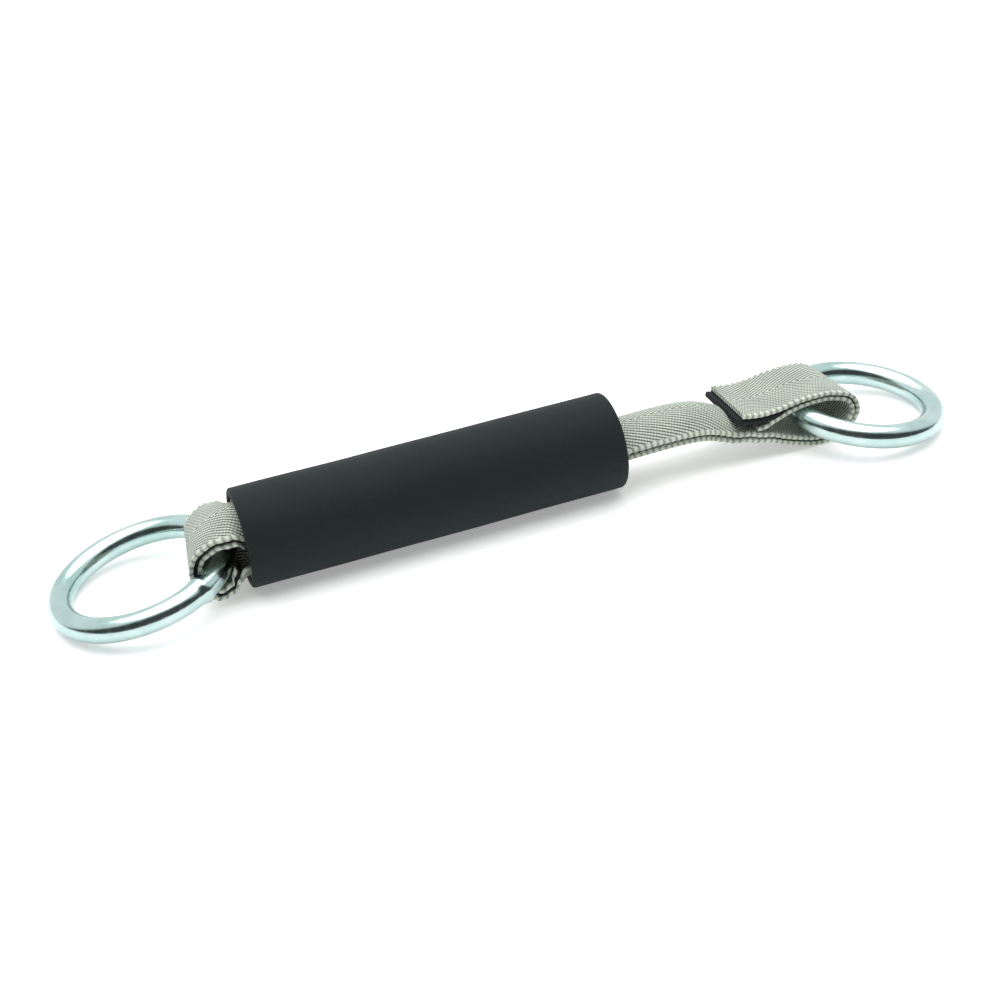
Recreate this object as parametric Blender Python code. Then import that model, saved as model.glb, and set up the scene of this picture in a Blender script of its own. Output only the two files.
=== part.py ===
"""Shoulder pulley strap handle: a foam grip on a webbing strap with a welded steel ring at each end.

The object lies on a flat surface. +X runs along the grip towards the ring with the closure flap,
+Z is up, and the origin is on the resting line, under the middle of the grip. Units are metres.
"""
import math

import bmesh
import bpy
from mathutils import Vector

MM = 0.001
GAP = 0.3 * MM                      # clearance between touching pieces

# Grip: a foam sleeve over a thin rigid core tube.
GRIP_LENGTH = 124 * MM
GRIP_RADIUS = 16 * MM
GRIP_EDGE_ROUND = 0.8 * MM
GRIP_FACETS = 48
EDGE_CUT = 0.3                      # share of an edge round left standing at its middle
CORE_OUTER_RADIUS = 13.0 * MM
CORE_BORE_RADIUS = 12.0 * MM
CORE_EDGE_ROUND = 0.3 * MM
CORE_SETBACK = 0.5 * MM             # the core ends this far inside the foam
CORE_FACETS = 32

# Welded rings, bent from round bar.
BAR_RADIUS = 4.0 * MM
LEFT_RING_MEAN_RADIUS = 26.5 * MM   # 45 mm inside
RIGHT_RING_MEAN_RADIUS = 24.0 * MM  # 40 mm inside
RING_STEPS = 44
BAR_FACETS = 10
WELD_SWELL = 0.13                   # how much thicker the bar is at the weld
WELD_SPREAD = math.radians(5)
LEFT_RING_PIVOT = (-69.0 * MM, 0.0, 12.7 * MM)
RIGHT_RING_PIVOT = (131.0 * MM, 0.0, 11.6 * MM)

# Webbing: 25 mm wide, used double, with a black tape between the two layers.
WEBBING_WIDTH = 25 * MM
WEBBING_THICKNESS = 1.25 * MM
TAPE_WIDTH = 22 * MM
TAPE_THICKNESS = 0.4 * MM
LAYER_GAP = 0.4 * MM                # between webbing and tape
LAYER_OFFSET = TAPE_THICKNESS / 2 + LAYER_GAP + WEBBING_THICKNESS / 2
WIDTH_STEPS = 6
PATH_STEP = 4.0 * MM
STRAIGHT_STEP = 16 * MM
STRAIGHT_ENOUGH = 0.04              # change of direction along a stretch
FLAT_BEND = 0.5                     # an arch flatter than this, in 1 / metre, counts as none
BORE_CLEARANCE = 0.4 * MM
BORE_LEG_RADIUS = CORE_BORE_RADIUS - BORE_CLEARANCE - WEBBING_THICKNESS / 2

# Hook tape under the closure flap.
HOOK_TAPE_WIDTH = 21 * MM
HOOK_TAPE_THICKNESS = 0.7 * MM


def clear_scene():
    for thing in list(bpy.data.objects):
        bpy.data.objects.remove(thing, do_unlink=True)


def make_material(name, colour, roughness, metallic=0.0):
    material = bpy.data.materials.new(name)
    material.use_nodes = True
    shader = material.node_tree.nodes["Principled BSDF"]
    shader.inputs["Base Color"].default_value = (*colour, 1.0)
    shader.inputs["Roughness"].default_value = roughness
    shader.inputs["Metallic"].default_value = metallic
    return material


def add_piece(name, shape, material, pivot=(0.0, 0.0, 0.0)):
    """Turns a bmesh in world coordinates into an object whose origin is at pivot."""
    bmesh.ops.recalc_face_normals(shape, faces=shape.faces)
    bmesh.ops.translate(shape, verts=shape.verts, vec=-Vector(pivot))
    mesh = bpy.data.meshes.new(name)
    shape.to_mesh(mesh)
    shape.free()
    mesh.shade_smooth()
    mesh.set_sharp_from_angle(angle=math.radians(40))
    mesh.materials.append(material)
    piece = bpy.data.objects.new(name, mesh)
    piece.location = pivot
    bpy.context.collection.objects.link(piece)
    return piece


def loft(rings, closed=False):
    """Skins a row of point rings. An open row gets a flat face at each end."""
    shape = bmesh.new()
    rows = [[shape.verts.new(point) for point in ring] for ring in rings]
    count = len(rows[0])
    pairs = list(zip(rows, rows[1:]))
    if closed:
        pairs.append((rows[-1], rows[0]))
    for first, second in pairs:
        for i in range(count):
            j = (i + 1) % count
            shape.faces.new((first[i], first[j], second[j], second[i]))
    if not closed:
        for row in (rows[0], rows[-1]):
            for i in range(count // 2 - 1):
                shape.faces.new((row[i], row[i + 1], row[count - 2 - i], row[count - 1 - i]))
    return shape


def sleeve(outer_radius, inner_radius, length, edge_round, facets):
    """A tube along X with a facet straight down, so that it lies flat on the surface."""
    outer = outer_radius / math.cos(math.pi / facets)
    inner = inner_radius / math.cos(math.pi / facets)
    half = length / 2
    profile = [
        (-half, inner),
        (half, inner),
        (half, outer - edge_round),
        (half - EDGE_CUT * edge_round, outer - EDGE_CUT * edge_round),
        (half - edge_round, outer),
        (-half + edge_round, outer),
        (-half + EDGE_CUT * edge_round, outer - EDGE_CUT * edge_round),
        (-half, outer - edge_round),
    ]
    rings = []
    for k in range(facets):
        angle = 2 * math.pi * (k + 0.5) / facets - math.pi / 2
        rings.append([
            Vector((x, r * math.cos(angle), GRIP_RADIUS + r * math.sin(angle)))
            for x, r in profile
        ])
    return loft(rings, closed=True)


class Ring:
    """Where a ring lies: it rests on the surface on its outer side and its inner side is held up."""

    def __init__(self, side, x, y, mean_radius, turn, tilt, weld_at):
        outward = side * Vector((math.cos(turn), math.sin(turn), 0.0))
        self.normal = math.cos(tilt) * Vector((0, 0, 1)) + math.sin(tilt) * outward
        self.centre = Vector((x, y, BAR_RADIUS + mean_radius * math.sin(tilt)))
        self.mean_radius = mean_radius
        self.weld_at = weld_at
        to_strap = Vector((-side, 0.0, 0.0))
        to_strap -= self.normal * to_strap.dot(self.normal)
        self.to_strap = to_strap.normalized()
        self.across = self.normal.cross(self.to_strap)

    def build(self, name, material, pivot):
        rings = []
        for k in range(RING_STEPS):
            angle = 2 * math.pi * k / RING_STEPS
            spoke = math.cos(angle) * self.to_strap + math.sin(angle) * self.across
            from_weld = math.remainder(angle - self.weld_at, 2 * math.pi)
            swell = 1 + WELD_SWELL * math.exp(-((from_weld / WELD_SPREAD) ** 2))
            circle = []
            for j in range(BAR_FACETS):
                around = 2 * math.pi * (j + 0.5) / BAR_FACETS
                offset = math.cos(around) * spoke + math.sin(around) * self.normal
                circle.append(self.centre + self.mean_radius * spoke + BAR_RADIUS * swell * offset)
            rings.append(circle)
        return add_piece(name, loft(rings, closed=True), material, pivot)


class Station:
    """One place on a webbing path: its middle, the way its face looks, and how it is arched."""

    def __init__(self, middle, normal, bend, width, skew):
        self.middle = middle
        self.normal = normal
        self.bend = bend                # 1 / arch radius, crest towards the normal if positive
        self.width = width              # share of the full width
        self.skew = skew                # lean of the crosswise line along X

    def layer(self, offset):
        """The same station on a layer that lies offset along the normal."""
        middle = self.middle + offset * self.normal
        bend = self.bend / (1 + self.bend * offset)
        return Station(middle, self.normal, bend, self.width, self.skew)

    def turned_over(self):
        return Station(self.middle, -self.normal, -self.bend, self.width, self.skew)

    def outline(self, full_width, thickness):
        points = []
        for level, order in ((0.5, 1), (-0.5, -1)):
            for k in range(-WIDTH_STEPS // 2, WIDTH_STEPS // 2 + 1):
                along = order * k / WIDTH_STEPS * full_width * self.width
                if abs(self.bend) < FLAT_BEND:
                    turn = 0.0
                    across = along
                    rise = 0.0
                else:
                    turn = self.bend * along
                    across = math.sin(turn) / self.bend
                    rise = (math.cos(turn) - 1) / self.bend
                across += level * thickness * math.sin(turn)
                rise += level * thickness * math.cos(turn)
                lean = Vector((self.skew * across, across, 0.0))
                points.append(self.middle + lean + rise * self.normal)
        return points


def path(controls):
    """Stations along a smooth curve through (x, y, z, bend, width, skew) controls.

    x, y and z are in millimetres, and bend is in 1 / millimetre. The normal is on the left of the
    direction of travel, seen from -Y.
    """
    spots = [Vector((x, y, z)) * MM for x, y, z, *_ in controls]
    values = [control[3:] for control in controls]
    lengths = [(b - a).length for a, b in zip(spots, spots[1:])]
    slopes = []
    for i in range(len(spots)):
        before = max(i - 1, 0)
        after = min(i + 1, len(spots) - 1)
        slopes.append((spots[after] - spots[before]) / sum(lengths[before:after]))
    samples = []
    for i, length in enumerate(lengths):
        turns = (slopes[i + 1] - slopes[i]).length > STRAIGHT_ENOUGH
        straight = not turns and values[i] == values[i + 1]
        count = max(1, round(length / (STRAIGHT_STEP if straight else PATH_STEP)))
        for k in range(count + (i == len(lengths) - 1)):
            t = k / count
            blend = t * t * (3 - 2 * t)
            spot = (
                (2 * t ** 3 - 3 * t ** 2 + 1) * spots[i]
                + (t ** 3 - 2 * t ** 2 + t) * length * slopes[i]
                + (3 * t ** 2 - 2 * t ** 3) * spots[i + 1]
                + (t ** 3 - t ** 2) * length * slopes[i + 1]
            )
            mixed = [a + (b - a) * blend for a, b in zip(values[i], values[i + 1])]
            samples.append((spot, mixed))
    stations = []
    for i, (spot, (bend, width, skew)) in enumerate(samples):
        before = samples[max(i - 1, 0)][0]
        after = samples[min(i + 1, len(samples) - 1)][0]
        travel = after - before
        normal = Vector((-travel.z, 0.0, travel.x)).normalized()
        stations.append(Station(spot, normal, bend / MM, width, skew))
    return stations


def ribbon(stations, width, thickness):
    return loft([station.outline(width, thickness) for station in stations])


# Arch of the strap in 1 / mm and its height in mm: where it runs double through the grip, and
# where it lines the bore.
RUN_BEND = 1 / 13.65
RUN_HEIGHT = 19.65
LEG_BEND = MM / BORE_LEG_RADIUS
LEG_TOP = (GRIP_RADIUS + BORE_LEG_RADIUS) / MM
LEG_BOTTOM = (GRIP_RADIUS - BORE_LEG_RADIUS) / MM

# Middle surface of the double strap: out of the grip, down to the surface, round the right-hand
# ring bar and back over it to the start of the flap.
DOUBLE_RUN = [
    (-2, 0, RUN_HEIGHT, RUN_BEND, 1, 0),
    (30, 0, RUN_HEIGHT, RUN_BEND, 1, 0),
    (62, 0, RUN_HEIGHT, RUN_BEND, 1, 0),
    (94, 0, 18.8, 0.068, 1, 0),
    (102, 0, 15.2, 0.058, 1, 0),
    (109, 0, 11.4, 0.030, 1, 0),
    (116, 0, 7.7, 0.006, 1, 0),
    (124, 0, 4.3, 0, 1, 0),
    (133, 0, 2.4, 0, 1, 0),
    (140.5, -0.8, 4.2, 0, 0.94, -0.05),
    (144.2, -0.8, 9.5, 0, 0.94, -0.08),
    (142.6, -0.8, 14.6, 0, 0.94, -0.07),
    (137, -0.3, 17.3, 0, 0.98, -0.03),
    (130.6, 0, 17.9, 0, 1, 0),
]
FLAP_RUN = [
    (130.2, 0, 17.9, 0, 1, 0),
    (124, 0, 17.6, 0, 1, 0),
    (117, 0, 16.5, 0, 1, 0),
    (110, 0, 16.4, 0, 1, 0),
    (104, 0, 17.4, 0, 1, 0),
]
# The webbing's inner end leaves the loop and drops onto the strap below it, where it is sewn.
INNER_END = [
    (110, 0, 14.4, 0.014, 1, 0),
    (113.5, 0, 13.6, 0.004, 1, 0),
    (117, 0, 14.4, 0, 1, 0),
    (121.5, 0, 15.8, 0, 1, 0),
    (126.5, 0, 16.55, 0, 1, 0),
]
# Middle of the webbing where it is single: from the upper layer, round the left-hand ring bar,
# and back into the lower layer.
LEFT_LOOP = [
    (-7, 0, 21.1, -0.070, 0.97, 0),
    (-14, 0, 21.5, -0.070, 0.97, 0),
    (-26, 0, 23.4, -0.076, 0.96, 0),
    (-40, 0, 26.0, -0.088, 0.98, 0),
    (-52, 0, LEG_TOP, -LEG_BEND, 1, 0),
    (-61.7, 0, LEG_TOP, -LEG_BEND, 1, 0),
    (-66.5, 0.2, 26.0, -0.025, 1, 0.03),
    (-72, 0.6, 23.8, -0.010, 1, 0.10),
    (-77.7, 1.2, 19.4, 0, 1, 0.20),
    (-80.0, 1.5, 13.6, 0, 1, 0.23),
    (-78.5, 1.4, 7.8, 0, 1, 0.20),
    (-73.2, 0.8, 3.7, 0, 1, 0.10),
    (-66.8, 0.4, 3.2, -0.015, 1, 0.03),
    (-64.2, 0.2, 4.1, -0.050, 1, 0.01),
    (-61.7, 0, LEG_BOTTOM, -LEG_BEND, 1, 0),
    (-52, 0, LEG_BOTTOM, -LEG_BEND, 1, 0),
    (-38, 0, 9.5, -0.066, 0.9, 0),
    (-26, 0, 15.4, 0, 0.9, 0),
    (-14, 0, 17.7, 0.055, 0.95, 0),
    (-7, 0, 18.3, 0.070, 0.97, 0),
]
LINER_END = -65.5 * MM              # the left-hand liner and its tape stop short of the grip
MIDDLE_TAPE_END = 123 * MM          # under the flap
HOOK_TAPE_SPAN = (104.5 * MM, 119 * MM)

LEFT_RING = Ring(-1, -93.0 * MM, 6.0 * MM, LEFT_RING_MEAN_RADIUS, -0.22, 0.165, math.radians(-57))
RIGHT_RING = Ring(1, 151.0 * MM, -6.0 * MM, RIGHT_RING_MEAN_RADIUS, -0.20, 0.160, math.radians(8))


def between(stations, span):
    low, high = span
    return [station for station in stations if low <= station.middle.x <= high]


def build_grip(foam, plastic):
    grip = sleeve(GRIP_RADIUS, CORE_OUTER_RADIUS + GAP, GRIP_LENGTH, GRIP_EDGE_ROUND, GRIP_FACETS)
    add_piece("foam_grip", grip, foam, (0, 0, GRIP_RADIUS))
    core_length = GRIP_LENGTH - 2 * CORE_SETBACK
    core = sleeve(CORE_OUTER_RADIUS, CORE_BORE_RADIUS, core_length, CORE_EDGE_ROUND, CORE_FACETS)
    add_piece("core_tube", core, plastic, (0, 0, GRIP_RADIUS))


def build_strap(webbing, black):
    double = path(DOUBLE_RUN)
    flap = path(FLAP_RUN)
    left = path(LEFT_LOOP)
    upper = [station.layer(LAYER_OFFSET).turned_over() for station in double]
    lower = [station.layer(-LAYER_OFFSET) for station in double]
    strap = path(INNER_END) + upper[::-1] + left + lower
    add_piece("webbing_strap", ribbon(strap, WEBBING_WIDTH, WEBBING_THICKNESS), webbing)

    covered_flap = between(flap, (MIDDLE_TAPE_END, flap[0].middle.x))
    add_piece("middle_tape", ribbon(double + covered_flap[1:], TAPE_WIDTH, TAPE_THICKNESS), black)

    loop = between(left, (-math.inf, LINER_END))
    tape = [station.layer(LAYER_OFFSET) for station in loop]
    liner = [station.layer(2 * LAYER_OFFSET) for station in loop]
    add_piece("left_loop_tape", ribbon(tape, TAPE_WIDTH, TAPE_THICKNESS), black)
    add_piece("left_loop_liner", ribbon(liner, WEBBING_WIDTH, WEBBING_THICKNESS), webbing)

    flap_start = flap[0].middle
    hinge = flap_start + Vector((0, 0, LAYER_OFFSET + WEBBING_THICKNESS / 2))
    cover = [station.layer(-LAYER_OFFSET) for station in flap]
    add_piece("closure_flap", ribbon(cover, WEBBING_WIDTH, WEBBING_THICKNESS), webbing, hinge)

    hook_offset = HOOK_TAPE_THICKNESS / 2 + GAP + WEBBING_THICKNESS / 2 - LAYER_OFFSET
    hook = [station.layer(hook_offset) for station in between(flap, HOOK_TAPE_SPAN)]
    hook_tape = ribbon(hook, HOOK_TAPE_WIDTH, HOOK_TAPE_THICKNESS)
    add_piece("flap_hook_tape", hook_tape, black, hinge)


def build_rings(zinc):
    LEFT_RING.build("left_ring", zinc, LEFT_RING_PIVOT)
    RIGHT_RING.build("right_ring", zinc, RIGHT_RING_PIVOT)


clear_scene()
build_grip(
    foam=make_material("black_foam", (0.030, 0.035, 0.038), 0.85),
    plastic=make_material("grey_core_plastic", (0.12, 0.12, 0.12), 0.5),
)
build_strap(
    webbing=make_material("grey_webbing", (0.42, 0.40, 0.36), 0.8),
    black=make_material("black_tape", (0.012, 0.013, 0.014), 0.9),
)
build_rings(zinc=make_material("zinc_plated_steel", (0.74, 0.80, 0.79), 0.2, 1.0))
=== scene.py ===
"""Shoulder pulley strap handle: the finished look of each piece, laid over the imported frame.

Lengths are in metres unless a name ends in _MM. The frame's +X runs along the grip towards the
ring with the closure flap, +Z is up, and the object lies on the floor at z = 0.
"""

import math

import bmesh
import bpy
from mathutils import Matrix, Vector, noise


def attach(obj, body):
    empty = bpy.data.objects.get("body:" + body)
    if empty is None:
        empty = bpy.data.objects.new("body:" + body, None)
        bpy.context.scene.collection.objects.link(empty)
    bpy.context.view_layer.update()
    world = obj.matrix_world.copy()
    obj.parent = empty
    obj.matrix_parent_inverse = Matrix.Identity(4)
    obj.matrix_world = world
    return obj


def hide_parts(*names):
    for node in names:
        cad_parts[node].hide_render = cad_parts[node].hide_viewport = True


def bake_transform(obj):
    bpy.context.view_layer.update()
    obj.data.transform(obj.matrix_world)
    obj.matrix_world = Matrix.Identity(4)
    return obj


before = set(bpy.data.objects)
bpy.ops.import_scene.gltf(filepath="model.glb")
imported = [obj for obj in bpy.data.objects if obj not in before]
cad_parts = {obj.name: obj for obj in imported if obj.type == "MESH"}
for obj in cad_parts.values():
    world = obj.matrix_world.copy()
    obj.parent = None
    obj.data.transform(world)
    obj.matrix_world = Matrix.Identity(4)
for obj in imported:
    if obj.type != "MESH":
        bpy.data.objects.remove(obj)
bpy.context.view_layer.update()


# ---------------------------------------------------------------------------------------------
# Foam grip: a plain round sleeve of closed-cell foam, cut square at both ends with a faint
# rounding, matte and almost black, with a fine skin of pores and a slight unevenness.
# ---------------------------------------------------------------------------------------------
MM = 0.001
GRIP_LENGTH = 124 * MM
GRIP_RADIUS = 16 * MM
GRIP_BORE = 13.1 * MM
GRIP_EDGE = 0.8 * MM
BORE_EDGE = 0.4 * MM
GRIP_FACETS = 96
GRIP_WOBBLE = 0.15 * MM
GRIP_AXIS = Vector((0, 0, GRIP_RADIUS))


def linear(hex_colour):
    """An sRGB hex colour as the linear RGBA that shader sockets take."""
    values = [int(hex_colour[i:i + 2], 16) / 255 for i in (1, 3, 5)]
    shaded = [v / 12.92 if v <= 0.04045 else ((v + 0.055) / 1.055) ** 2.4 for v in values]
    return (*shaded, 1.0)


def new_material(name):
    material = bpy.data.materials.new(name)
    material.use_nodes = True
    return material, material.node_tree.nodes["Principled BSDF"]


def add(material, kind, inputs=None, **settings):
    """Adds a shader node. inputs maps a socket's name or number to a value or to another socket."""
    tree = material.node_tree
    node = tree.nodes.new(kind)
    for key, value in settings.items():
        setattr(node, key, value)
    for key, value in (inputs or {}).items():
        if isinstance(value, bpy.types.NodeSocket):
            tree.links.new(value, node.inputs[key])
        else:
            node.inputs[key].default_value = value
    return node


def link(material, source, shader, socket):
    material.node_tree.links.new(source, shader.inputs[socket])


def maths(material, operation, a, b=0.0, c=0.0):
    return add(material, "ShaderNodeMath", {0: a, 1: b, 2: c}, operation=operation).outputs[0]


def mix_colour(material, share, a, b):
    inputs = {0: share, 6: a, 7: b}
    return add(material, "ShaderNodeMix", inputs, data_type="RGBA").outputs[2]


def object_noise(material, scale, detail=2.0, roughness=0.5):
    place = add(material, "ShaderNodeTexCoord").outputs["Object"]
    inputs = {"Vector": place, "Scale": scale, "Detail": detail, "Roughness": roughness}
    return add(material, "ShaderNodeTexNoise", inputs).outputs["Fac"]


def foam_material():
    material, shader = new_material("black_foam")
    patches = object_noise(material, 45.0, 3.0)
    pores = object_noise(material, 2600.0, 3.0, 0.65)
    streaks_place = add(material, "ShaderNodeMapping", {
        "Vector": add(material, "ShaderNodeTexCoord").outputs["Object"],
        "Scale": (60.0, 420.0, 420.0),
    }).outputs[0]
    streaks = add(material, "ShaderNodeTexNoise", {"Vector": streaks_place, "Scale": 1.0}).outputs[0]
    shade = maths(material, "MULTIPLY_ADD", patches, 0.6, maths(material, "MULTIPLY", streaks, 0.4))
    colour = mix_colour(material, shade, linear("#0f1718"), linear("#192425"))
    link(material, colour, shader, "Base Color")
    bump = add(material, "ShaderNodeBump", {
        "Strength": 0.55, "Distance": 0.00016, "Height": pores,
    }).outputs[0]
    swell = add(material, "ShaderNodeBump", {
        "Strength": 0.35, "Distance": 0.0006, "Height": patches, "Normal": bump,
    }).outputs[0]
    link(material, swell, shader, "Normal")
    shader.inputs["Roughness"].default_value = 0.78
    shader.inputs["Specular IOR Level"].default_value = 0.25
    shader.inputs["Sheen Weight"].default_value = 0.02
    shader.inputs["Sheen Roughness"].default_value = 0.6
    return material


def finish_piece(name, shape, material, body, stands_for, smooth_angle=50):
    """Turns a bmesh into a shown piece that rides on a body and stands for its CAD nodes."""
    bmesh.ops.recalc_face_normals(shape, faces=shape.faces)
    mesh = bpy.data.meshes.new(name)
    shape.to_mesh(mesh)
    shape.free()
    mesh.shade_smooth()
    mesh.set_sharp_from_angle(angle=math.radians(smooth_angle))
    mesh.materials.append(material)
    piece = bpy.data.objects.new(name, mesh)
    bpy.context.scene.collection.objects.link(piece)
    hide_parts(*stands_for)
    if body:
        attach(piece, body)
    return piece


def skin(rows, closed=False):
    """Joins rows of points with faces. An open row gets a flat cap at each end."""
    shape = bmesh.new()
    verts = [[shape.verts.new(point) for point in row] for row in rows]
    count = len(verts[0])
    pairs = list(zip(verts, verts[1:]))
    if closed:
        pairs.append((verts[-1], verts[0]))
    for first, second in pairs:
        for i in range(count):
            j = (i + 1) % count
            shape.faces.new((first[i], first[j], second[j], second[i]))
    if not closed:
        for row in (verts[0], verts[-1]):
            for i in range(count // 2 - 1):
                shape.faces.new((row[i], row[i + 1], row[count - 2 - i], row[count - 1 - i]))
    return shape


def sleeve(profile, facets, wobble=0.0):
    """A tube along X through (x, radius) points, with a slight unevenness of its surface."""
    rows = []
    for k in range(facets):
        angle = 2 * math.pi * k / facets
        spoke = Vector((0, math.cos(angle), math.sin(angle)))
        row = []
        for x, radius in profile:
            place = Vector((x * 40, math.cos(angle) * 1.4, math.sin(angle) * 1.4))
            uneven = wobble * (noise.noise(place) - 0.35)
            row.append(GRIP_AXIS + Vector((x, 0, 0)) + (radius + uneven) * spoke)
        rows.append(row)
    return skin(rows, closed=True)


half_grip = GRIP_LENGTH / 2
rounding = []
for share in (0.0, 0.2, 0.425, 0.7, 1.0):
    rounding.append((GRIP_EDGE * share, GRIP_EDGE * (1 - math.sqrt(1 - (1 - share) ** 2))))
outside = [(-half_grip + inset, GRIP_RADIUS - lower) for inset, lower in rounding]
steps = 40
flat_length = GRIP_LENGTH - 2 * GRIP_EDGE
outside += [
    (-half_grip + GRIP_EDGE + flat_length * k / steps, GRIP_RADIUS) for k in range(1, steps)
]
outside += [(-x, radius) for x, radius in outside[len(rounding) - 1::-1]]
inside = [
    (half_grip, GRIP_BORE + BORE_EDGE),
    (half_grip - BORE_EDGE, GRIP_BORE),
    (-half_grip + BORE_EDGE, GRIP_BORE),
    (-half_grip, GRIP_BORE + BORE_EDGE),
]
foam_grip = finish_piece(
    "foam_grip_sleeve", sleeve(outside + inside, GRIP_FACETS, GRIP_WOBBLE), foam_material(),
    "grip", ["foam_grip"], 60,
)


# ---------------------------------------------------------------------------------------------
# Core tube: a thin hard plastic tube inside the foam that keeps the grip round. Only its ends
# can be seen, just inside the foam.
# ---------------------------------------------------------------------------------------------
CORE_OUTER = 12.95 * MM
CORE_BORE = 12.0 * MM
CORE_END = half_grip - 0.6 * MM
CORE_EDGE = 0.2 * MM


def plastic_material():
    material, shader = new_material("grey_core_plastic")
    grain = object_noise(material, 900.0)
    colour = mix_colour(material, grain, linear("#1d2021"), linear("#2a2d2e"))
    link(material, colour, shader, "Base Color")
    bump = add(material, "ShaderNodeBump", {
        "Strength": 0.3, "Distance": 0.0001, "Height": grain,
    }).outputs[0]
    link(material, bump, shader, "Normal")
    shader.inputs["Roughness"].default_value = 0.5
    return material


core_profile = [
    (-CORE_END, CORE_BORE + CORE_EDGE),
    (-CORE_END, CORE_OUTER - CORE_EDGE),
    (-CORE_END + CORE_EDGE, CORE_OUTER),
    (CORE_END - CORE_EDGE, CORE_OUTER),
    (CORE_END, CORE_OUTER - CORE_EDGE),
    (CORE_END, CORE_BORE + CORE_EDGE),
    (CORE_END - CORE_EDGE, CORE_BORE),
    (-CORE_END + CORE_EDGE, CORE_BORE),
]
core_tube = finish_piece(
    "core_plastic_tube", sleeve(core_profile, GRIP_FACETS), plastic_material(),
    "core", ["core_tube"], 40,
)


# ---------------------------------------------------------------------------------------------
# Webbing strap: one long piece of 25 mm herringbone webbing folded in half round the left-hand
# ring. Its two layers run through the grip one on the other, then round the right-hand ring.
# ---------------------------------------------------------------------------------------------
WEBBING_WIDTH = 25 * MM
WEBBING_THICKNESS = 1.25 * MM
SELVEDGE_PITCH_MM = 2.2
SELVEDGE_PITCH = SELVEDGE_PITCH_MM * MM
SELVEDGE_WIDTH = 1.5 * MM
KNOBS = 0.11 * MM                   # how far the loops of yarn at the selvedge stand out
RIB_PITCH_MM = 2.5
RIB_SLANT = 2.1
YARN_PITCH_MM = 1.05
YARN_SLANT = -0.5
CLOTH_STEP = 0.55 * MM
FLAT_BEND = 0.5                     # an arch flatter than this, in 1 / metre, counts as none
LAYER_OFFSET = 0.95 * MM
LEG_RADIUS_MM = 11.0
LEG_TOP_MM = 16 + LEG_RADIUS_MM
LEG_BOTTOM_MM = 16 - LEG_RADIUS_MM
LEG_BEND = 1 / LEG_RADIUS_MM
RUN_BEND = 1 / 13.65
FLAP_START = 130.4 * MM
FLAP_END = 104 * MM

# Controls of a path: x, y, z in millimetres, arch in 1 / mm, share of the width, lean along X.
DOUBLE_RUN = [
    (-2, 0, 19.65, RUN_BEND, 1, 0),
    (30, 0, 19.65, RUN_BEND, 1, 0),
    (62, 0, 19.65, RUN_BEND, 1, 0),
    (84, 0, 19.75, RUN_BEND, 1, 0),
    (94, 0, 18.4, 0.070, 1, 0),
    (102, 0, 14.8, 0.060, 1, 0),
    (109, 0, 11.4, 0.030, 1, 0),
    (116, 0, 7.7, 0.006, 1, 0),
    (124, 0, 4.1, 0, 1, 0),
    (133, 0, 2.1, 0, 1, 0),
    (140.5, -0.5, 4.3, 0, 0.97, -0.05),
    (144.3, -0.6, 9.5, 0, 0.96, -0.08),
    (142.6, -0.6, 14.6, 0, 0.96, -0.07),
    (137, 0, 17.3, 0, 1, 0),
    (130.6, 0, 17.9, 0, 1, 0),
]
FLAP_RUN = [
    (124, 0, 17.6, 0, 1, 0),
    (117, 0, 16.5, 0, 1, 0),
    (110, 0, 16.4, 0, 1, 0),
    (104, 0, 17.4, 0, 1, 0),
    (102.4, 0, 17.8, 0, 1, 0),
]
INNER_END = [
    (109.8, 0, 13.4, 0.026, 0.94, 0),
    (112.0, 0, 13.2, 0.014, 0.98, 0),
    (115, 0, 13.7, 0, 1, 0),
    (119, 0, 15.1, 0, 1, 0),
    (124, 0, 16.4, 0, 1, 0),
    (130.0, 0, 16.95, 0, 1, 0),
]
LEFT_LOOP = [
    (-7, 0, 20.8, -0.070, 0.97, 0),
    (-14, 0, 21.5, -0.070, 0.97, 0),
    (-26, 0, 23.4, -0.076, 0.96, 0),
    (-40, 0, 26.0, -0.088, 0.98, 0),
    (-52, 0, LEG_TOP_MM, -LEG_BEND, 1, 0),
    (-61.7, 0, LEG_TOP_MM, -LEG_BEND, 1, 0),
    (-66.5, 0.2, 26.2, -0.035, 1, 0.03),
    (-72, 0.6, 23.8, -0.010, 1, 0.10),
    (-76.6, 1.0, 19.4, 0, 1, 0.12),
    (-78.0, 1.2, 13.9, 0, 1, 0.14),
    (-76.2, 1.2, 7.9, 0, 1, 0.13),
    (-72.2, 0.8, 3.9, 0, 1, 0.07),
    (-67.0, 0.4, 3.3, -0.026, 1, 0.03),
    (-64.4, 0.2, 4.1, -0.056, 1, 0.01),
    (-61.7, 0, LEG_BOTTOM_MM, -LEG_BEND, 1, 0),
    (-52, 0, LEG_BOTTOM_MM, -LEG_BEND, 1, 0),
    (-38, 0, 9.5, -0.066, 0.9, 0),
    (-26, 0, 15.4, 0, 0.9, 0),
    (-14, 0, 17.7, 0.055, 0.95, 0),
    (-7, 0, 18.5, 0.070, 0.97, 0),
]


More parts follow.
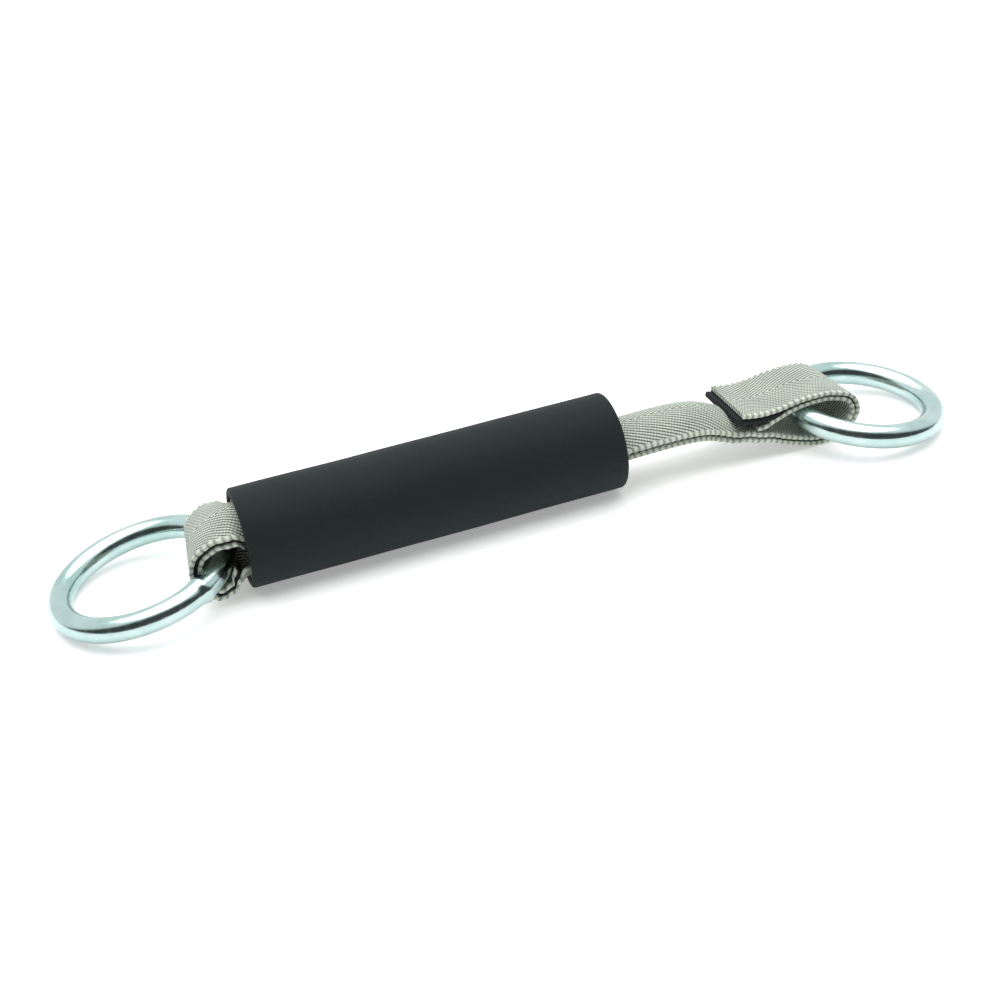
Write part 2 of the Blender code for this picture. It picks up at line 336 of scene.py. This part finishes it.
class Station:
    """One place on a webbing path: its middle, the way its face looks, and how it is arched."""

    def __init__(self, middle, normal, bend, width, skew):
        self.middle = middle
        self.normal = normal
        self.bend = bend
        self.width = width
        self.skew = skew

    def layer(self, offset):
        """The same station on a layer that lies offset along the normal."""
        middle = self.middle + offset * self.normal
        bend = self.bend / (1 + self.bend * offset)
        return Station(middle, self.normal, bend, self.width, self.skew)

    def turned_over(self):
        return Station(self.middle, -self.normal, -self.bend, self.width, self.skew)

    def spot(self, along, height):
        """The point that far across the webbing and that far above its middle surface."""
        if abs(self.bend) < FLAT_BEND:
            turn = 0.0
            across = along
            rise = 0.0
        else:
            turn = self.bend * along
            across = math.sin(turn) / self.bend
            rise = (math.cos(turn) - 1) / self.bend
        across += height * math.sin(turn)
        rise += height * math.cos(turn)
        return self.middle + Vector((self.skew * across, across, 0.0)) + rise * self.normal


def path(controls):
    """Close stations along a smooth curve through the controls, with the normal on its left."""
    spots = [Vector((x, y, z)) * MM for x, y, z, *_ in controls]
    values = [control[3:] for control in controls]
    lengths = [(b - a).length for a, b in zip(spots, spots[1:])]
    slopes = []
    for i in range(len(spots)):
        before = max(i - 1, 0)
        after = min(i + 1, len(spots) - 1)
        slopes.append((spots[after] - spots[before]) / sum(lengths[before:after]))
    samples = []
    for i, length in enumerate(lengths):
        count = max(1, round(length / CLOTH_STEP))
        for k in range(count + (i == len(lengths) - 1)):
            t = k / count
            ease = t * t * (3 - 2 * t)
            place = (
                (2 * t ** 3 - 3 * t ** 2 + 1) * spots[i]
                + (t ** 3 - 2 * t ** 2 + t) * length * slopes[i]
                + (3 * t ** 2 - 2 * t ** 3) * spots[i + 1]
                + (t ** 3 - t ** 2) * length * slopes[i + 1]
            )
            mixed = [a + (b - a) * ease for a, b in zip(values[i], values[i + 1])]
            samples.append((place, mixed))
    stations = []
    for i, (place, (bend, width, skew)) in enumerate(samples):
        before = samples[max(i - 2, 0)][0]
        after = samples[min(i + 2, len(samples) - 1)][0]
        travel = after - before
        normal = Vector((-travel.z, 0.0, travel.x)).normalized()
        stations.append(Station(place, normal, bend / MM, width, skew))
    return stations


def between(stations, low=-math.inf, high=math.inf):
    return [station for station in stations if low <= station.middle.x <= high]


def cloth(stations, width, thickness, knobs=0.0, columns=16, start=0.0):
    """A closed band of cloth with rounded edges and a UV map of millimetres across and along."""
    along = [start]
    for a, b in zip(stations, stations[1:]):
        along.append(along[-1] + (b.middle - a.middle).length)
    edge = 0.28 * thickness
    inner = width / 2 - edge
    flat = [inner * (2 * k / columns - 1) for k in range(columns + 1)]
    section = [(u, 1.0) for u in flat]
    section += [(inner + 0.75 * edge, 0.72), (inner + edge, 0.0), (inner + 0.75 * edge, -0.72)]
    section += [(u, -1.0) for u in reversed(flat)]
    section += [(-inner - 0.75 * edge, -0.72), (-inner - edge, 0.0), (-inner - 0.75 * edge, 0.72)]
    rows = []
    for station, v in zip(stations, along):
        row = []
        for u, level in section:
            at_edge = max(0.0, 1 - (width / 2 - abs(u)) / SELVEDGE_WIDTH)
            beat = math.sin(2 * math.pi * v / SELVEDGE_PITCH + (0.0 if level >= 0 else math.pi))
            swell = knobs * at_edge * (0.35 + 0.65 * beat)
            reach = u * station.width + math.copysign(swell * 1.1, u)
            row.append(station.spot(reach, level * (thickness / 2 + 0.8 * swell)))
        rows.append(row)
    shape = skin(rows)
    shape.verts.ensure_lookup_table()
    shape.verts.index_update()
    layer = shape.loops.layers.uv.new("strap")
    count = len(section)
    for face in shape.faces:
        for loop in face.loops:
            row, column = divmod(loop.vert.index, count)
            loop[layer].uv = (section[column][0] / MM, along[row] / MM)
    return shape, along[-1] - start


def webbing_material(name, light, dark):
    """Herringbone twill: slanting ribs that reverse on the centre line, and knobbly selvedges."""
    material, shader = new_material(name)
    place = add(material, "ShaderNodeUVMap", uv_map="strap").outputs[0]
    jitter = add(material, "ShaderNodeTexNoise", {"Vector": place, "Scale": 0.7}).outputs[0]
    parts = add(material, "ShaderNodeSeparateXYZ", {0: place})
    across = maths(material, "ABSOLUTE", parts.outputs[0])
    along = maths(material, "MULTIPLY_ADD", jitter, 0.35, parts.outputs[1])
    slant = maths(material, "MULTIPLY_ADD", across, RIB_SLANT, along)
    counter = maths(material, "MULTIPLY_ADD", across, YARN_SLANT, along)
    rib = maths(material, "COSINE", maths(material, "MULTIPLY", slant, 2 * math.pi / RIB_PITCH_MM))
    rib = maths(material, "MULTIPLY_ADD", rib, 0.5, 0.5)
    yarn = maths(material, "COSINE", maths(material, "MULTIPLY", counter, 2 * math.pi / YARN_PITCH_MM))
    yarn = maths(material, "MULTIPLY_ADD", yarn, 0.5, 0.5)
    weave = maths(material, "MULTIPLY", maths(material, "POWER", rib, 0.7),
                  maths(material, "MULTIPLY_ADD", yarn, 0.50, 0.50))
    at_edge = add(material, "ShaderNodeMapRange", {
        "Value": across, "From Min": 11.0, "From Max": 11.3, "To Min": 0.0, "To Max": 1.0,
    }).outputs[0]
    loops = maths(material, "SINE", maths(material, "MULTIPLY", along, 2 * math.pi / SELVEDGE_PITCH_MM))
    loops = maths(material, "MULTIPLY_ADD", loops, 0.35, 0.65)
    height = add(material, "ShaderNodeMix", {0: at_edge, 2: weave, 3: loops}).outputs[0]
    tone = add(material, "ShaderNodeMapRange", {
        "Value": height, "From Min": 0.08, "From Max": 0.75, "To Min": 0.0, "To Max": 1.0,
    }).outputs[0]
    colour = mix_colour(material, tone, linear(dark), linear(light))
    dust = object_noise(material, 120.0, 4.0)
    soil = add(material, "ShaderNodeMapRange", {
        "Value": dust, "From Min": 0.3, "From Max": 0.7, "To Min": 0.86, "To Max": 1.06,
    }).outputs[0]
    colour = add(material, "ShaderNodeVectorMath", {0: colour, 3: soil}, operation="SCALE").outputs[0]
    link(material, colour, shader, "Base Color")
    fuzz = object_noise(material, 5200.0, 2.0)
    relief = maths(material, "MULTIPLY_ADD", fuzz, 0.18, height)
    bump = add(material, "ShaderNodeBump", {
        "Strength": 0.9, "Distance": 0.00028, "Height": relief,
    }).outputs[0]
    link(material, bump, shader, "Normal")
    shader.inputs["Roughness"].default_value = 0.62
    shader.inputs["Specular IOR Level"].default_value = 0.4
    shader.inputs["Sheen Weight"].default_value = 0.25
    shader.inputs["Sheen Roughness"].default_value = 0.5
    return material


webbing = webbing_material("grey_webbing", "#ccd5c5", "#49544a")
whole_run = path(DOUBLE_RUN + FLAP_RUN)
flap_at = next(i for i, station in enumerate(whole_run)
               if station.normal.z < 0 and station.middle.x < FLAP_START)
double = whole_run[:flap_at + 1]
left = path(LEFT_LOOP)
upper = [station.layer(LAYER_OFFSET).turned_over() for station in double]
lower = [station.layer(-LAYER_OFFSET) for station in double]
strap_stations = path(INNER_END)[:-1] + upper[::-1] + left + lower
strap_shape, strap_length = cloth(strap_stations, WEBBING_WIDTH, WEBBING_THICKNESS, KNOBS)
strap = finish_piece(
    "webbing_folded_strap", strap_shape, webbing, "strap", ["webbing_strap"],
)


# ---------------------------------------------------------------------------------------------
# Black tapes: a thin woven tape lies between the two layers all along the strap, and another
# backs the webbing inside the left-hand loop.
# ---------------------------------------------------------------------------------------------
TAPE_WIDTH = 23.6 * MM
MIDDLE_TAPE_THICKNESS = 0.5 * MM
LEFT_OFFSET = 1.3 * MM
LEFT_TAPE_THICKNESS = 1.1 * MM
LINER_END = -62.8 * MM


def black_material():
    material, shader = new_material("black_tape")
    place = add(material, "ShaderNodeUVMap", uv_map="strap").outputs[0]
    nap = add(material, "ShaderNodeTexNoise", {
        "Vector": place, "Scale": 2.4, "Detail": 3.0,
    }).outputs[0]
    colour = mix_colour(material, nap, linear("#0e1112"), linear("#262b2c"))
    link(material, colour, shader, "Base Color")
    bump = add(material, "ShaderNodeBump", {
        "Strength": 0.8, "Distance": 0.0002, "Height": nap,
    }).outputs[0]
    link(material, bump, shader, "Normal")
    shader.inputs["Roughness"].default_value = 0.85
    shader.inputs["Specular IOR Level"].default_value = 0.3
    return material


black = black_material()
middle_shape, middle_length = cloth(
    double, TAPE_WIDTH, MIDDLE_TAPE_THICKNESS, columns=10,
)
middle_tape = finish_piece(
    "black_middle_tape", middle_shape, black, "strap", ["middle_tape"],
)

loop_stations = between(left, high=LINER_END)
loop_tape_shape, loop_tape_length = cloth(
    [station.layer(LEFT_OFFSET) for station in loop_stations], TAPE_WIDTH, LEFT_TAPE_THICKNESS,
    columns=10,
)
left_tape = finish_piece(
    "black_left_loop_tape", loop_tape_shape, black, "strap", ["left_loop_tape"],
)


# ---------------------------------------------------------------------------------------------
# Left-hand liner: a short second length of the same webbing inside the left-hand loop, where
# the ring's bar would otherwise wear the strap.
# ---------------------------------------------------------------------------------------------
liner_shape, liner_length = cloth(
    [station.layer(2 * LEFT_OFFSET) for station in loop_stations], WEBBING_WIDTH,
    WEBBING_THICKNESS, KNOBS,
)
liner = finish_piece(
    "webbing_left_loop_liner", liner_shape, webbing, "strap", ["left_loop_liner"],
)


# ---------------------------------------------------------------------------------------------
# Closure flap: the free end of the webbing comes back over the right-hand loop, with black hook
# tape sewn under it. It peels up, so it bends where it leaves the loop.
# ---------------------------------------------------------------------------------------------
HOOK_THICKNESS = 1.9 * MM
HOOK_WIDTH = 24.4 * MM
HOOK_SPAN = (102.4 * MM, 119 * MM)

flap_run = whole_run[flap_at:]
flap_stations = [s.layer(-LAYER_OFFSET) for s in between(flap_run, low=FLAP_END)]
flap_shape, flap_length = cloth(
    flap_stations, WEBBING_WIDTH, WEBBING_THICKNESS, KNOBS, start=strap_length,
)
flap = finish_piece("webbing_closure_flap", flap_shape, webbing, None, ["closure_flap"])
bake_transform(flap)

flap_tape_stations = between(flap_run, low=FLAP_END)
flap_tape_shape, flap_tape_length = cloth(
    flap_tape_stations, TAPE_WIDTH, MIDDLE_TAPE_THICKNESS, columns=10, start=middle_length,
)
flap_tape = finish_piece(
    "black_flap_backing_tape", flap_tape_shape, black, None, [],
)
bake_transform(flap_tape)

hook_offset = MIDDLE_TAPE_THICKNESS / 2 + HOOK_THICKNESS / 2
hook_stations = [s.layer(hook_offset) for s in between(flap_run, *HOOK_SPAN)]
hook_shape, hook_length = cloth(hook_stations, HOOK_WIDTH, HOOK_THICKNESS, columns=10)
hook_tape = finish_piece(
    "black_flap_hook_tape", hook_shape, black, "flap", ["flap_hook_tape"],
)


# ---------------------------------------------------------------------------------------------
# Welded rings: 8 mm round bar bent into a ring and butt welded, bright zinc plated. Each hangs
# in one of the strap's loops, and its outer side lies on the surface.
# ---------------------------------------------------------------------------------------------
BAR_RADIUS = 4.0 * MM
RING_STEPS = 192
BAR_FACETS = 28
WELD_BEAD = 0.13                    # share by which the weld thickens the bar
WELD_BEAD_WIDTH = 3.2               # degrees
WELD_STEP = 0.38 * MM               # how far the bar's two ends miss each other
WELD_STEP_SHARPNESS = 1.5           # degrees
WELD_STEP_WIDTH = 9                 # degrees


def zinc_material():
    material, shader = new_material("zinc_plated_steel")
    cloudy = object_noise(material, 70.0, 4.0)
    tint = add(material, "ShaderNodeMapRange", {
        "Value": cloudy, "From Min": 0.35, "From Max": 0.65, "To Min": 0.0, "To Max": 1.0,
    }).outputs[0]
    colour = mix_colour(material, tint, linear("#a2bcb9"), linear("#bfd1cf"))
    link(material, colour, shader, "Base Color")
    marks = object_noise(material, 420.0, 3.0)
    gloss = add(material, "ShaderNodeMapRange", {
        "Value": marks, "From Min": 0.3, "From Max": 0.7, "To Min": 0.13, "To Max": 0.24,
    }).outputs[0]
    link(material, gloss, shader, "Roughness")
    bump = add(material, "ShaderNodeBump", {
        "Strength": 0.12, "Distance": 0.0003, "Height": marks,
    }).outputs[0]
    link(material, bump, shader, "Normal")
    shader.inputs["Metallic"].default_value = 1.0
    return material


def ring(name, body, node, side, x, y, mean_radius, turn, tilt, weld_at):
    """A ring that rests on its outer side, with its inner side held up by the loop."""
    outward = side * Vector((math.cos(turn), math.sin(turn), 0.0))
    normal = math.cos(tilt) * Vector((0, 0, 1)) + math.sin(tilt) * outward
    centre = Vector((x, y, BAR_RADIUS + mean_radius * math.sin(tilt)))
    to_strap = Vector((-side, 0.0, 0.0))
    to_strap -= normal * to_strap.dot(normal)
    to_strap.normalize()
    across = normal.cross(to_strap)
    rows = []
    for k in range(RING_STEPS):
        angle = 2 * math.pi * k / RING_STEPS
        spoke = math.cos(angle) * to_strap + math.sin(angle) * across
        from_weld = math.degrees(math.remainder(angle - weld_at, 2 * math.pi))
        bead = WELD_BEAD * math.exp(-((from_weld / WELD_BEAD_WIDTH) ** 2))
        fade = math.exp(-((from_weld / WELD_STEP_WIDTH) ** 2))
        slip = WELD_STEP * math.tanh(from_weld / WELD_STEP_SHARPNESS) * fade
        row = []
        for j in range(BAR_FACETS):
            around = 2 * math.pi * j / BAR_FACETS
            offset = math.cos(around) * spoke + math.sin(around) * normal
            place = centre + mean_radius * spoke + BAR_RADIUS * offset
            lumps = bead * (0.7 + 1.2 * noise.noise(place * 420))
            row.append(centre + (mean_radius + slip) * spoke + BAR_RADIUS * (1 + lumps) * offset)
        rows.append(row)
    return finish_piece(name, skin(rows, closed=True), zinc, body, [node], 70)


zinc = zinc_material()
left_ring = ring(
    "steel_left_ring", "ring_left", "left_ring",
    -1, -93.0 * MM, 6.0 * MM, 26.5 * MM, -0.22, 0.165, math.radians(-57),
)
right_ring = ring(
    "steel_right_ring", "ring_right", "right_ring",
    1, 151.0 * MM, -6.0 * MM, 24.0 * MM, -0.20, 0.160, math.radians(8),
)


# ---------------------------------------------------------------------------------------------
# Floor, light and camera: a plain pale floor under a soft overhead light, with a bright sky that
# darkens towards the horizon so that the bright metal has something to reflect.
# ---------------------------------------------------------------------------------------------
def build_floor():
    shape = bmesh.new()
    bmesh.ops.create_grid(shape, x_segments=1, y_segments=1, size=5.0)
    mesh = bpy.data.meshes.new("floor")
    shape.to_mesh(mesh)
    shape.free()
    material, shader = new_material("pale_floor")
    shader.inputs["Base Color"].default_value = linear("#f4f4f4")
    shader.inputs["Emission Color"].default_value = (1.0, 1.0, 1.0, 1.0)
    shader.inputs["Emission Strength"].default_value = 0.33
    shader.inputs["Roughness"].default_value = 0.5
    shader.inputs["Specular IOR Level"].default_value = 0.3
    mesh.materials.append(material)
    floor = bpy.data.objects.new("floor", mesh)
    bpy.context.scene.collection.objects.link(floor)


def build_sky():
    world = bpy.data.worlds.new("studio")
    world.use_nodes = True
    tree = world.node_tree
    background = tree.nodes["Background"]
    place = tree.nodes.new("ShaderNodeTexCoord")
    slope = tree.nodes.new("ShaderNodeVectorMath")
    slope.operation = "DOT_PRODUCT"
    slope.inputs[1].default_value = (0.15, 0.70, 0.70)
    ramp = tree.nodes.new("ShaderNodeMapRange")
    ramp.interpolation_type = "SMOOTHSTEP"
    ramp.inputs["From Min"].default_value = 0.02
    ramp.inputs["From Max"].default_value = 0.34
    ramp.inputs["To Min"].default_value = 0.07
    ramp.inputs["To Max"].default_value = 1.12
    tree.links.new(place.outputs["Generated"], slope.inputs[0])
    tree.links.new(slope.outputs["Value"], ramp.inputs[0])
    tree.links.new(ramp.outputs[0], background.inputs["Strength"])
    background.inputs["Color"].default_value = (0.97, 1.0, 1.0, 1.0)
    bpy.context.scene.world = world


def build_light(name, place, aim, size, energy):
    light = bpy.data.lights.new(name, "AREA")
    light.shape = "DISK"
    light.size = size
    light.energy = energy
    lamp = bpy.data.objects.new(name, light)
    lamp.location = place
    lamp.rotation_euler = (Vector(aim) - Vector(place)).to_track_quat("-Z", "Y").to_euler()
    bpy.context.scene.collection.objects.link(lamp)


def build_camera():
    eye = Vector((-119.6, -474.0, 298.6)) * MM
    heading = math.radians(16.7)
    lower = math.radians(30.7)
    roll = math.radians(-6.5)
    sight = Vector((
        math.sin(heading) * math.cos(lower),
        math.cos(heading) * math.cos(lower),
        -math.sin(lower),
    ))
    level = Vector((math.cos(heading), -math.sin(heading), 0.0))
    upright = level.cross(sight)
    right = level * math.cos(roll) + upright * math.sin(roll)
    up = upright * math.cos(roll) - level * math.sin(roll)
    turn = Matrix((right, up, -sight)).transposed().to_4x4()
    data = bpy.data.cameras.new("camera")
    data.sensor_width = 36.0
    data.lens = 1782 * 36.0 / 1000
    camera = bpy.data.objects.new("camera", data)
    camera.matrix_world = Matrix.Translation(eye) @ turn
    bpy.context.scene.collection.objects.link(camera)
    bpy.context.scene.camera = camera


build_floor()
build_sky()
build_light("softbox", (0.1, 0.2, 1.5), (0.02, 0, 0), 2.2, 24.0)
build_camera()
bpy.context.scene.view_settings.view_transform = "Standard"
